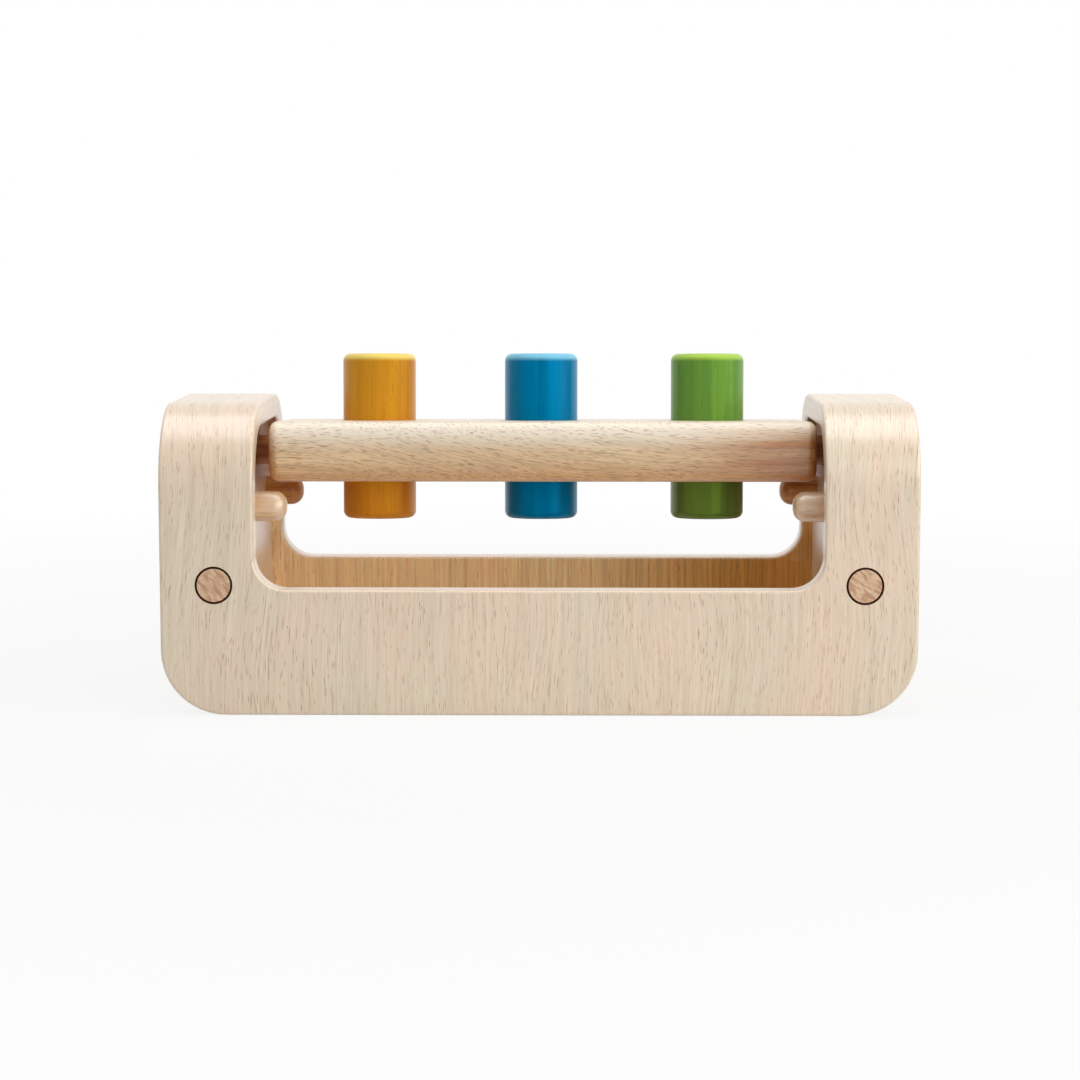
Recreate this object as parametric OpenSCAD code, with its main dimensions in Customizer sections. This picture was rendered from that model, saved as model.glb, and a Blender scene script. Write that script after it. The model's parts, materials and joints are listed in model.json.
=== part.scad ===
// Peg pounding bench. One sheet of bent plywood forms a front wall, a flat top and a
// back wall, with a wide cut-out through all three. Two end boards stand between the
// walls. A beam with three pegs hangs between the boards on two axle dowels, and four
// short pins stop it from tipping over.
// Millimetres. +X runs along the beam, -Y is the front and +Z is up. The origin is the
// middle of the footprint, on the surface that the bench stands on.

/* [Frame] */
// Length of the bench, along the beam
frame_w = 245; // [235:1:260]
// Depth of the bench, from front to back
frame_d = 96; // [90:1:110]
// Height of the plywood arch
frame_h = 100; // [98:0.5:104]
// Thickness of the plywood
ply_t = 8; // [6:0.5:9]
// Outer radius of the two bends
bend_r = 26; // [20:1:30]
// Radius of the lower outer corners, seen from the front
foot_r = 21; // [10:1:24]
// Width of each shoulder that is left beside the cut-out
shoulder_w = 30.5; // [28:0.5:34]
// Height of the cut-out's lower edge
cut_floor = 41; // [30:1:46]
// Radius of the cut-out's lower corners
cut_r = 10.5; // [6:0.5:14]

/* [End boards] */
// Thickness of each end board
board_t = 18; // [16:0.5:20]
// How far each board's inner face stands back from the cut-out's edge
board_setback = 4; // [2:0.5:6]
// Height of the boards' lower edges
board_z = 6; // [5:0.5:10]

/* [Dowels] */
// Diameter of the dowels that pin the walls to the boards
dowel_d = 10.8; // [8:0.2:12]
// Length of each dowel
dowel_l = 30; // [20:1:36]
// Height of the dowels
dowel_z = 42.5; // [34:0.5:48]
// Gap round each dowel where it passes through the plywood
dowel_gap = 0.45; // [0.1:0.05:0.6]

/* [Stop pins] */
// Diameter of the stop pins
pin_d = 10; // [8:0.5:11]
// Distance of the stop pins from the middle, towards the front and the back
pin_y = 26.8; // [26.5:0.1:30]
// Height of the stop pins
pin_z = 66; // [64:0.5:66.5]
// How far each stop pin stands out of its board
pin_reach = 12.8; // [10:0.2:15]
// Depth of the stop pins in the boards
pin_depth = 12; // [8:1:14]
// Radius of the stop pins' noses
pin_nose = 4.2; // [2:0.1:4.5]

/* [Axles] */
// Diameter of the axle dowels
axle_d = 10; // [8:0.5:10]
// Height of the axles when they lie at the bottom of their slots
axle_z = 82.5; // [81:0.5:83]
// Length of each axle inside its board
axle_in_board = 12; // [8:1:13]
// Length of each axle inside the beam
axle_in_beam = 14; // [10:0.5:15]
// Gap round the axles in the beam's bores
bore_gap = 0.08; // [0.02:0.01:0.1]
// Gap on each side of the axles in the boards' slots
slot_gap = 0.15; // [0.1:0.05:0.3]

/* [Beam] */
// Gap between the beam's ends and the boards, when the beam hangs in the middle
end_gap = 5.75; // [5:0.25:7]
// Width of the beam, from front to back
beam_w = 56; // [50:1:56]
// Thickness of the beam
beam_t = 20; // [18:0.5:20]
// Radius of the beam's long edges
edge_r = 5; // [4:0.5:7]
// Radius of the beam's end edges
end_r = 2.5; // [2:0.5:5]
// How far the beam hangs from the middle, along its axles
beam_shift = 0.9; // [-1:0.1:1]
// Angle by which the beam leans back at rest
lean = 3.3; // [0:0.1:3.5]

/* [Pegs] */
// Diameter of the pegs
peg_d = 24.5; // [20:0.5:25]
// Length of the pegs
peg_l = 55.5; // [50:0.5:60]
// How far the pegs' middles stand above the beam's middle
peg_rise = 4.7; // [0:0.1:8]
// Distance between the outer holes and the middle of the beam
peg_pitch = 55.4; // [50:0.1:56]
// How far the middle hole is drilled from the middle of the beam
middle_hole = -0.7; // [-1:0.1:1]
// Radius of the pegs' rims
rim_r = 2.4; // [1:0.1:4]
// Gap round the pegs in their holes
peg_gap = 0.1; // [0.05:0.05:0.2]

/* [Grip rings] */
// Thickness of the rubber ring that grips each peg
ring_t = 2.4; // [1.6:0.2:3]
// Gap round each ring in its groove, and between the ring and its peg
ring_gap = 0.05; // [0.02:0.01:0.1]

/* [Hidden] */
$fn = 96;
LEFT = -1;
RIGHT = 1;
FRONT = -1;
BACK = 1;
// Extra length of a cutting shape past the face that it opens
past = 1;
// Gap round a dowel or a pin that is glued in its hole
glue_gap = 0.05;
// Spare depth of a blind hole beyond the end of what sits in it
spare_depth = 0.5;
cut_half = frame_w / 2 - shoulder_w;
inner_half_d = frame_d / 2 - ply_t;
ceiling_z = frame_h - ply_t;
board_in = cut_half + board_setback;
board_mid = board_in + board_t / 2;
beam_l = 2 * (board_in - end_gap);
peg_x = [-peg_pitch, middle_hole, peg_pitch];
hole_r = peg_d / 2 + peg_gap;
ring_mid_r = peg_d / 2 + ring_gap + ring_t / 2;
ply_color = "#dccbb0";
board_color = "#b98d62";
dowel_color = "#cfa077";
beam_color = "#d2ab7e";
rubber_color = "#2b2b2b";
yellow_color = "#d29a25";
blue_color = "#0f7f9f";
green_color = "#6f9c37";

// Side view of a block with a flat top and two round bends, from z = bottom upwards
module arch_outline(half_d, top, bottom, r) {
    translate([-half_d, bottom]) square([2 * half_d, top - r - bottom]);
    translate([-half_d + r, bottom]) square([2 * (half_d - r), top - bottom]);
    for (side = [-1, 1]) translate([side * (half_d - r), top - r]) circle(r = r);
}

// Front view of a block of height h with its two lower corners rounded
module foot_outline(half_w, h, r) {
    translate([-half_w, r]) square([2 * half_w, h - r]);
    translate([-half_w + r, 0]) square([2 * (half_w - r), h]);
    for (side = [-1, 1]) translate([side * (half_w - r), r]) circle(r = r);
}

// Rectangle about its middle with all four corners rounded
module soft_rectangle(a, b, r) {
    square([a, b - 2 * r], center = true);
    square([a - 2 * r, b], center = true);
    for (i = [-1, 1], j = [-1, 1]) translate([i * (a / 2 - r), j * (b / 2 - r)]) circle(r = r);
}

// Turns a side view (Y, Z) into a bar of length w along X, centred
module along_x(w) {
    rotate([90, 0, 90]) linear_extrude(w, center = true) children();
}

// Turns a front view (X, Z) into a bar of length d along Y, centred
module along_y(d) {
    rotate([90, 0, 0]) linear_extrude(d, center = true) children();
}

// Round bar of length l that starts at the children's origin and runs towards side * X
module bar_x(side, l, r) {
    rotate([0, side * 90, 0]) cylinder(h = l, r = r);
}

// Round bar of length l along Y, from y towards the outside
module bar_y(side, l, r) {
    rotate([side * -90, 0, 0]) cylinder(h = l, r = r);
}

// Solid of revolution about Z from z = 0 to z = l, with the far rim rounded
module nosed_bar(r, l, nose) {
    rotate_extrude() {
        square([r, l - nose]);
        square([r - nose, l]);
        intersection() {
            translate([r - nose, l - nose]) circle(r = nose);
            square([r, l]);
        }
    }
}

// Puts a piece drawn in the beam's own frame, its middle at the origin, where it rests
module in_beam_place() {
    translate([beam_shift, 0, axle_z]) rotate([-lean, 0, 0]) children();
}

module dowel_holes(r) {
    hole_l = dowel_l + spare_depth;
    for (side = [LEFT, RIGHT], face = [FRONT, BACK])
        translate([side * board_mid, face * (frame_d / 2 - hole_l), dowel_z])
            bar_y(face, hole_l + past, r);
}

module bent_ply_frame() {
    color(ply_color) difference() {
        intersection() {
            along_x(frame_w) arch_outline(frame_d / 2, frame_h, 0, bend_r);
            along_y(frame_d) foot_outline(frame_w / 2, frame_h, foot_r);
        }
        along_x(frame_w + 2 * past) arch_outline(inner_half_d, ceiling_z, -past, bend_r - ply_t);
        translate([0, 0, cut_floor])
            along_y(frame_d + 2 * past) foot_outline(cut_half, frame_h - cut_floor + past, cut_r);
        dowel_holes(dowel_d / 2 + dowel_gap);
    }
}

module end_board(side) {
    color(board_color) difference() {
        translate([side * board_mid, 0, 0])
            along_x(board_t) arch_outline(inner_half_d, ceiling_z, board_z, bend_r - ply_t);
        dowel_holes(dowel_d / 2 + glue_gap);
        for (face = [FRONT, BACK])
            translate([side * (board_in - past), face * pin_y, pin_z])
                bar_x(side, pin_depth + spare_depth + past, pin_d / 2 + glue_gap);
        axle_slot(side);
    }
}

// Upright slot for an axle, round at the bottom and open at the top
module axle_slot(side) {
    slot_r = axle_d / 2 + slot_gap;
    slot_l = axle_in_board + spare_depth + past;
    translate([side * (board_in - past), 0, axle_z]) bar_x(side, slot_l, slot_r);
    translate([side * (board_in - past + slot_l / 2), 0, axle_z + (frame_h - axle_z) / 2])
        cube([slot_l, 2 * slot_r, frame_h - axle_z], center = true);
}

module dowel(side, face) {
    color(dowel_color) translate([side * board_mid, face * (frame_d / 2 - dowel_l), dowel_z])
        bar_y(face, dowel_l, dowel_d / 2);
}

module stop_pin(side, face) {
    color(dowel_color) translate([side * (board_in + pin_depth), face * pin_y, pin_z])
        rotate([0, side * -90, 0]) nosed_bar(pin_d / 2, pin_depth + pin_reach, pin_nose);
}

module axle(side) {
    inner_end = beam_l / 2 - axle_in_beam + side * beam_shift;
    color(dowel_color) translate([side * inner_end, 0, axle_z])
        bar_x(side, board_in + axle_in_board - inner_end, axle_d / 2);
}

module peg_beam() {
    color(beam_color) in_beam_place() difference() {
        intersection() {
            along_x(beam_l) soft_rectangle(beam_w, beam_t, edge_r);
            along_y(beam_w) soft_rectangle(beam_l, beam_t, end_r);
            linear_extrude(beam_t, center = true) soft_rectangle(beam_l, beam_w, end_r);
        }
        for (x = peg_x) translate([x, 0, 0]) {
            cylinder(h = beam_t + 2 * past, r = hole_r, center = true);
            cylinder(h = ring_t + 2 * ring_gap, r = ring_mid_r + ring_t / 2 + ring_gap, center = true);
        }
        for (side = [LEFT, RIGHT]) translate([side * (beam_l / 2 - axle_in_beam - spare_depth), 0, 0])
            bar_x(side, axle_in_beam + spare_depth + past, axle_d / 2 + bore_gap);
    }
}

module peg(x, shade) {
    color(shade) in_beam_place() translate([x, 0, peg_rise])
        for (turn = [0, 180]) rotate([turn, 0, 0]) nosed_bar(peg_d / 2, peg_l / 2, rim_r);
}

module grip_ring(x) {
    color(rubber_color) in_beam_place() translate([x, 0, 0])
        rotate_extrude() translate([ring_mid_r, 0]) circle(r = ring_t / 2);
}

bent_ply_frame();
end_board(LEFT);  // left_end_board
end_board(RIGHT);  // right_end_board
dowel(LEFT, FRONT);  // front_left_dowel
dowel(RIGHT, FRONT);  // front_right_dowel
dowel(LEFT, BACK);  // back_left_dowel
dowel(RIGHT, BACK);  // back_right_dowel
stop_pin(LEFT, FRONT);  // front_left_stop_pin
stop_pin(RIGHT, FRONT);  // front_right_stop_pin
stop_pin(LEFT, BACK);  // back_left_stop_pin
stop_pin(RIGHT, BACK);  // back_right_stop_pin
axle(LEFT);  // left_axle
axle(RIGHT);  // right_axle
peg_beam();
peg(peg_x[0], yellow_color);  // yellow_peg
peg(peg_x[1], blue_color);  // blue_peg
peg(peg_x[2], green_color);  // green_peg
grip_ring(peg_x[0]);  // yellow_grip_ring
grip_ring(peg_x[1]);  // blue_grip_ring
grip_ring(peg_x[2]);  // green_grip_ring
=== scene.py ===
import json
import math

import bmesh
import bpy
from mathutils import Matrix, Vector


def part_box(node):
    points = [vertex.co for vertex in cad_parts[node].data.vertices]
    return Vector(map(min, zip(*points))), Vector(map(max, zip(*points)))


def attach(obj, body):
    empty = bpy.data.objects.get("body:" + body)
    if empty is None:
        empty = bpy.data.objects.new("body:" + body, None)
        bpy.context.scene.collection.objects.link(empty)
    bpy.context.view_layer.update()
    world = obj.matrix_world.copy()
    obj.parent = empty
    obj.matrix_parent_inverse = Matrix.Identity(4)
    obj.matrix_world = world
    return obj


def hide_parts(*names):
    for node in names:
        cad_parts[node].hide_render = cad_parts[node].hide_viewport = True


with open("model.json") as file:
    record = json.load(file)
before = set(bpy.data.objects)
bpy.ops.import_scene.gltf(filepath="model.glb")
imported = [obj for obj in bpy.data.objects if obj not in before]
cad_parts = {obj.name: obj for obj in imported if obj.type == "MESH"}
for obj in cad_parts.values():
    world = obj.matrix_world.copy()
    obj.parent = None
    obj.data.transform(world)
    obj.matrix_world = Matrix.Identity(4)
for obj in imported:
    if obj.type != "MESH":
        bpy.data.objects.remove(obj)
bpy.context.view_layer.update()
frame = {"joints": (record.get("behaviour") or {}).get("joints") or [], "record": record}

MM = 0.001
QUARTER = math.pi / 2

# Sizes of the bench that no box of the frame gives
BEND_R = 26 * MM
FOOT_R = 21 * MM
SHOULDER_W = 30.5 * MM
CUT_FLOOR = 41 * MM
CUT_R = 10.5 * MM
DOWEL_GAP = 0.7 * MM
GLUE_GAP = 0.05 * MM
SLOT_GAP = 0.15 * MM
BORE_GAP = 0.08 * MM
SLOT_DEPTH = 12.5 * MM
BORE_DEPTH = 14.5 * MM
PIN_HOLE_DEPTH = 12.5 * MM
PIN_NOSE = 4.2 * MM
BEAM_HALF_W = 28 * MM
BEAM_HALF_T = 10 * MM
BEAM_EDGE_R = 5 * MM
BEAM_EDGE_RISE = 8 * MM
BEAM_END_R = 3.2 * MM
PEG_L = 55.5 * MM
PEG_RIM_R = 2.4 * MM
PEG_GAP = 0.1 * MM
RING_T = 2.4 * MM
RING_GAP = 0.05 * MM
# How far a cutting shape runs past the face that it opens
PAST = 2 * MM

# Radii that the hand feels: the plywood's arrises, and the eased edges of boards, bars and holes
PLY_ARRIS_R = 1.1 * MM
BOARD_EASE = 0.4 * MM
BAR_EASE = 0.35 * MM
HOLE_EASE = 0.4 * MM
DOWEL_EASE = 0.1 * MM
# The countersink leaves a narrow groove round each wall dowel
GROOVE_DEPTH = 0.9 * MM
GROOVE_EASE = 0.15 * MM
# The plywood is eight veneers thick
VENEERS = 8
# What the wood finishes know of a place in the wood
MARKS = ("Figure", "Patches", "Fibres", "Pores")

# How finely round shapes are cut, and how near two points lie that count as one
CORNER_STEPS = 12
ARRIS_STEPS = 4
BEND_STEPS = 30
RIM_STEPS = 8
BAR_SIDES = 96
RING_SIDES = 96
SECTION_SIDES = 16
SAME_POINT = 0.001 * MM

record = frame["record"]
BODY_OF = {node: body for body, nodes in record["behaviour"]["bodies"].items() for node in nodes}
JOINT = {joint["name"]: joint for joint in frame["joints"]}

arch_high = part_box("bent_ply_frame")[1]
board_low, board_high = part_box("right_end_board")
dowel_low, dowel_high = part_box("front_right_dowel")
HALF_W = arch_high.x
HALF_D = arch_high.y
HEIGHT = arch_high.z
PLY_T = HALF_D - board_high.y
CUT_HALF = HALF_W - SHOULDER_W
# The sheet is laid out flat from the middle of the top, and measured on its outer face
FLAT_HALF = HALF_D - BEND_R
SHEET_HALF = FLAT_HALF + BEND_R * QUARTER + HEIGHT - BEND_R

DOWEL_HOLE_R = (dowel_high.z - dowel_low.z) / 2 + DOWEL_GAP
DOWEL_X = (dowel_high.x + dowel_low.x) / 2
DOWEL_ALONG = SHEET_HALF - (dowel_high.z + dowel_low.z) / 2

AXLE_Z = JOINT["beam_rock"]["pos_m"][2]
PEG_AXIS = Vector(JOINT["yellow_peg_slide"]["axis"]).normalized()
LEAN = math.atan2(PEG_AXIS.y, PEG_AXIS.z)
beam_low, beam_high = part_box("peg_beam")
BEAM_HALF_L = (beam_high.x - beam_low.x) / 2
BEAM_SHIFT = (beam_high.x + beam_low.x) / 2
BEAM_PLACE = Matrix.Translation((BEAM_SHIFT, 0, AXLE_Z)) @ Matrix.Rotation(-LEAN, 4, "X")

# Turn an outline and its height into a bar along X or along Y
ALONG_X = Matrix(((0, 0, 1, 0), (1, 0, 0, 0), (0, 1, 0, 0), (0, 0, 0, 1)))
ALONG_Y = Matrix(((0, 1, 0, 0), (0, 0, 1, 0), (1, 0, 0, 0), (0, 0, 0, 1)))

# Each hand with the sign of its X, and the pegs from left to right
HANDS = (("left", -1), ("right", 1))
PEG_COLOURS = ("yellow", "blue", "green")


def add(tree, kind, inputs=None, **settings):
    """A new node of this kind, with its settings made and its inputs filled by values or links."""
    node = tree.nodes.new(kind)
    for name, value in settings.items():
        setattr(node, name, value)
    for name, value in (inputs or {}).items():
        if isinstance(value, bpy.types.NodeSocket):
            tree.links.new(value, node.inputs[name])
        else:
            node.inputs[name].default_value = value
    return node


def calc(tree, operation, *values):
    """The result of a Math node."""
    return add(tree, "ShaderNodeMath", dict(enumerate(values)), operation=operation).outputs[0]


def calc_vector(tree, operation, *values):
    """The result of a Vector Math node."""
    return add(tree, "ShaderNodeVectorMath", dict(enumerate(values)), operation=operation).outputs[0]


def spread(tree, value, low, high, new_low=0.0, new_high=1.0, smooth=False):
    """The value, with low to high spread over new_low to new_high and held at both ends."""
    inputs = {"Value": value, "From Min": low, "From Max": high, "To Min": new_low, "To Max": new_high}
    way = "SMOOTHSTEP" if smooth else "LINEAR"
    return add(tree, "ShaderNodeMapRange", inputs, interpolation_type=way).outputs["Result"]


def new_tree(name, kind, inputs, outputs):
    """A node tree with named inputs and outputs; returns it with the sockets of both."""
    tree = bpy.data.node_groups.new(name, kind)
    for socket, socket_kind in inputs:
        tree.interface.new_socket(socket, in_out="INPUT", socket_type=socket_kind)
    for socket, socket_kind in outputs:
        tree.interface.new_socket(socket, in_out="OUTPUT", socket_type=socket_kind)
    return tree, tree.nodes.new("NodeGroupInput").outputs, tree.nodes.new("NodeGroupOutput").inputs


def outline(low, high, radii, grow=0.0):
    """Anticlockwise points of a box from corner low to corner high, grown by grow on all sides.
    The radii are those of its low-low, high-low, high-high and low-high corners."""
    corners = (
        (low[0], low[1], 1, 1),
        (high[0], low[1], -1, 1),
        (high[0], high[1], -1, -1),
        (low[0], high[1], 1, -1),
    )
    points = []
    for turn, ((a, b, inward_a, inward_b), radius) in enumerate(zip(corners, radii)):
        r = max(radius + grow, 0)
        centre_a = a + inward_a * (r - grow)
        centre_b = b + inward_b * (r - grow)
        for step in range(CORNER_STEPS + 1):
            angle = QUARTER * (turn + 2 + step / CORNER_STEPS)
            points.append((centre_a + r * math.cos(angle), centre_b + r * math.sin(angle)))
    return points


def circle(radius, centre=(0, 0), grow=0.0):
    """Anticlockwise points of a circle."""
    low = (centre[0] - radius, centre[1] - radius)
    high = (centre[0] + radius, centre[1] + radius)
    return outline(low, high, [radius] * 4, grow)


def centred(corner, radius, grow):
    """Anticlockwise points of a box about the origin with four equal corner radii."""
    return outline((-corner[0], -corner[1]), corner, [radius] * 4, grow)


def level_with(points, height):
    """Flat points lifted to a height."""
    return [(x, y, height) for x, y in points]


def eased_edge(radius, thickness):
    """Pairs of inset and depth from one face, round its edge, down the side and round the far edge."""
    angles = [QUARTER * step / ARRIS_STEPS for step in range(ARRIS_STEPS + 1)]
    near = [(radius * (1 - math.sin(a)), radius * (1 - math.cos(a))) for a in angles]
    return near + [(inset, thickness - depth) for inset, depth in reversed(near)]


def add_rings(shape, rings):
    """Adds rings of points to a bmesh, with a band of faces between each ring and the next."""
    loops = [[shape.verts.new(point) for point in ring] for ring in rings]
    for lower, upper in zip(loops, loops[1:]):
        for i, j in zip(range(len(lower)), [*range(1, len(lower)), 0]):
            shape.faces.new((lower[i], lower[j], upper[j], upper[i]))
    return loops


def add_stack(shape, layers, place):
    """Adds a closed solid made of layers, each a height and an outline."""
    rings = [[place @ Vector((a, b, height)) for a, b in points] for height, points in layers]
    loops = add_rings(shape, rings)
    shape.faces.new(loops[0])
    shape.faces.new(loops[-1])


def mesh_of(shape, name):
    """The bmesh as a mesh, with its doubles merged and its faces pointing outwards."""
    bmesh.ops.remove_doubles(shape, verts=shape.verts[:], dist=SAME_POINT)
    bmesh.ops.recalc_face_normals(shape, faces=shape.faces[:])
    mesh = bpy.data.meshes.new(name)
    shape.to_mesh(mesh)
    shape.free()
    return mesh


def evaluated_mesh(thing, name):
    """What an object's modifiers make of it, as a plain mesh. The object is removed."""
    plain = bpy.data.meshes.new_from_object(thing.evaluated_get(bpy.context.evaluated_depsgraph_get()))
    plain.name = name
    bpy.data.objects.remove(thing)
    return plain


def in_scene(name, mesh):
    """A new object of this mesh."""
    thing = bpy.data.objects.new(name, mesh)
    bpy.context.scene.collection.objects.link(thing)
    return thing


def cut_away(body_mesh, cutter_mesh):
    """The body's mesh less the cutter's."""
    cutter = in_scene("cutter", cutter_mesh)
    body = in_scene("body", body_mesh)
    cut = body.modifiers.new("cut", "BOOLEAN")
    cut.object = cutter
    cut.solver = "EXACT"
    result = evaluated_mesh(body, body_mesh.name)
    bpy.data.objects.remove(cutter)
    return result


def note_grain(mesh, across, through, along):
    """Stores each point's place in its wood: the numbers of its three axes, the last along the grain."""
    places = [(v.co[across], v.co[through], v.co[along]) for v in mesh.vertices]
    noted = mesh.attributes.new("grain", "FLOAT_VECTOR", "POINT")
    noted.data.foreach_set("vector", [number for place in places for number in place])


def shaped_by(tree, name, mesh, values):
    """The plain mesh that a Geometry Nodes tree makes of a mesh, with values for its named inputs."""
    thing = in_scene(name, mesh)
    modifier = thing.modifiers.new("shape", "NODES")
    modifier.node_group = tree
    for socket in tree.interface.items_tree:
        if socket.in_out == "INPUT" and socket.name in values:
            modifier[socket.identifier] = values[socket.name]
    return evaluated_mesh(thing, name)


def end_tree(tree, geometry, material, outputs):
    """Ends a Geometry Nodes tree: real geometry, smooth faces and one material."""
    smooth = add(tree, "GeometryNodeSetShadeSmooth", {"Geometry": geometry})
    real = add(tree, "GeometryNodeRealizeInstances", {"Geometry": smooth.outputs[0]})
    dressed = add(tree, "GeometryNodeSetMaterial", {"Geometry": real.outputs[0], "Material": material})
    tree.links.new(dressed.outputs[0], outputs["Geometry"])


def store_grain(tree, geometry, place):
    """Stores the place in the wood as the attribute that the wood finishes read."""
    inputs = {"Geometry": geometry, "Name": "grain", "Value": place}
    return add(tree, "GeometryNodeStoreNamedAttribute", inputs, data_type="FLOAT_VECTOR").outputs[0]


def bend_tree():
    """Geometry Nodes that bend a flat sheet, z = 0 its outer face, over both edges of a block."""
    tree, given, made = new_tree("bend_over_block", "GeometryNodeTree", [
        ("Geometry", "NodeSocketGeometry"),
        ("Flat half", "NodeSocketFloat"),
        ("Bend radius", "NodeSocketFloat"),
        ("Height", "NodeSocketFloat"),
        ("Material", "NodeSocketMaterial"),
    ], [("Geometry", "NodeSocketGeometry")])
    flat = add(tree, "GeometryNodeInputPosition").outputs[0]
    parts = add(tree, "ShaderNodeSeparateXYZ", {0: flat}).outputs
    in_log = add(tree, "ShaderNodeCombineXYZ", {"X": parts["X"], "Y": parts["Z"], "Z": parts["Y"]}).outputs[0]
    noted = store_grain(tree, given["Geometry"], in_log)
    radius = given["Bend radius"]
    side = calc(tree, "SIGN", parts["Y"])
    out = calc(tree, "ABSOLUTE", parts["Y"])
    past_flat = calc(tree, "MAXIMUM", calc(tree, "SUBTRACT", out, given["Flat half"]), 0.0)
    angle = calc(tree, "MINIMUM", calc(tree, "DIVIDE", past_flat, radius), QUARTER)
    past_bend = calc(tree, "SUBTRACT", past_flat, calc(tree, "MULTIPLY", radius, QUARTER))
    drop = calc(tree, "MAXIMUM", past_bend, 0.0)
    reach = calc(tree, "ADD", radius, parts["Z"])
    round_y = calc(tree, "MULTIPLY", reach, calc(tree, "SINE", angle))
    round_z = calc(tree, "MULTIPLY", reach, calc(tree, "COSINE", angle))
    from_middle = calc(tree, "ADD", calc(tree, "MINIMUM", out, given["Flat half"]), round_y)
    y = calc(tree, "MULTIPLY", side, from_middle)
    centre_z = calc(tree, "SUBTRACT", given["Height"], radius)
    z = calc(tree, "SUBTRACT", calc(tree, "ADD", centre_z, round_z), drop)
    bent = add(tree, "ShaderNodeCombineXYZ", {"X": parts["X"], "Y": y, "Z": z}).outputs[0]
    placed = add(tree, "GeometryNodeSetPosition", {"Geometry": noted, "Position": bent}).outputs[0]
    end_tree(tree, placed, given["Material"], made)
    return tree


def turned_tree():
    """Geometry Nodes that turn a round bar with two rounded rims, from Start towards Along."""
    tree, given, made = new_tree("turned_bar", "GeometryNodeTree", [
        ("Geometry", "NodeSocketGeometry"),
        ("Radius", "NodeSocketFloat"),
        ("Length", "NodeSocketFloat"),
        ("Near rim", "NodeSocketFloat"),
        ("Far rim", "NodeSocketFloat"),
        ("Rim steps", "NodeSocketInt"),
        ("Sides", "NodeSocketInt"),
        ("Start", "NodeSocketVector"),
        ("Along", "NodeSocketVector"),
        ("Log place", "NodeSocketVector"),
        ("Material", "NodeSocketMaterial"),
    ], [("Geometry", "NodeSocketGeometry")])
    rim_in = add(tree, "ShaderNodeCombineXYZ", {"X": given["Radius"]}).outputs[0]
    rim_out = add(tree, "ShaderNodeCombineXYZ", {"X": given["Radius"], "Y": given["Length"]}).outputs[0]
    pole = add(tree, "ShaderNodeCombineXYZ", {"Y": given["Length"]}).outputs[0]
    corners = {"Point 1": (0, 0, 0), "Point 2": rim_in, "Point 3": rim_out, "Point 4": pole}
    sharp = add(tree, "GeometryNodeCurvePrimitiveQuadrilateral", corners, mode="POINTS").outputs[0]
    index = add(tree, "GeometryNodeInputIndex").outputs[0]
    near = calc(tree, "MULTIPLY", calc(tree, "COMPARE", index, 1, 0.1), given["Near rim"])
    far = calc(tree, "MULTIPLY", calc(tree, "COMPARE", index, 2, 0.1), given["Far rim"])
    rims = {"Curve": sharp, "Count": given["Rim steps"], "Radius": calc(tree, "ADD", near, far)}
    profile = add(tree, "GeometryNodeFilletCurve", rims, mode="POLY").outputs[0]
    counted = add(tree, "GeometryNodeAttributeDomainSize", {"Geometry": profile}, component="CURVE")
    count = counted.outputs["Point Count"]
    columns = calc(tree, "ADD", given["Sides"], 1)
    grid_size = {"Size X": 1, "Size Y": 1, "Vertices X": columns, "Vertices Y": count}
    grid = add(tree, "GeometryNodeMeshGrid", grid_size)
    position = add(tree, "GeometryNodeInputPosition").outputs[0]
    on_grid = add(tree, "ShaderNodeSeparateXYZ", {0: position}).outputs
    turn = calc(tree, "MULTIPLY", calc(tree, "ADD", on_grid["X"], 0.5), 2 * math.pi)
    rows = calc(tree, "MULTIPLY", calc(tree, "ADD", on_grid["Y"], 0.5), calc(tree, "SUBTRACT", count, 1))
    sample = {"Geometry": profile, "Value": position, "Index": calc(tree, "ROUND", rows)}
    on_profile = add(tree, "GeometryNodeSampleIndex", sample, data_type="FLOAT_VECTOR").outputs[0]
    reach = add(tree, "ShaderNodeSeparateXYZ", {0: on_profile}).outputs
    x = calc(tree, "MULTIPLY", reach["X"], calc(tree, "COSINE", turn))
    y = calc(tree, "MULTIPLY", reach["X"], calc(tree, "SINE", turn))
    on_bar = add(tree, "ShaderNodeCombineXYZ", {"X": x, "Y": y, "Z": reach["Y"]}).outputs[0]
    moved = {"Geometry": grid.outputs[0], "Position": on_bar}
    turned = add(tree, "GeometryNodeSetPosition", moved).outputs[0]
    merged = {"Geometry": turned, "Distance": SAME_POINT}
    closed = add(tree, "GeometryNodeMergeByDistance", merged).outputs[0]
    noted = store_grain(tree, closed, calc_vector(tree, "ADD", position, given["Log place"]))
    facing = add(tree, "FunctionNodeAlignRotationToVector", {"Vector": given["Along"]}, axis="Z").outputs[0]
    moves = {"Geometry": noted, "Translation": given["Start"], "Rotation": facing}
    placed = add(tree, "GeometryNodeTransform", moves).outputs[0]
    end_tree(tree, placed, given["Material"], made)
    return tree


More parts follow.
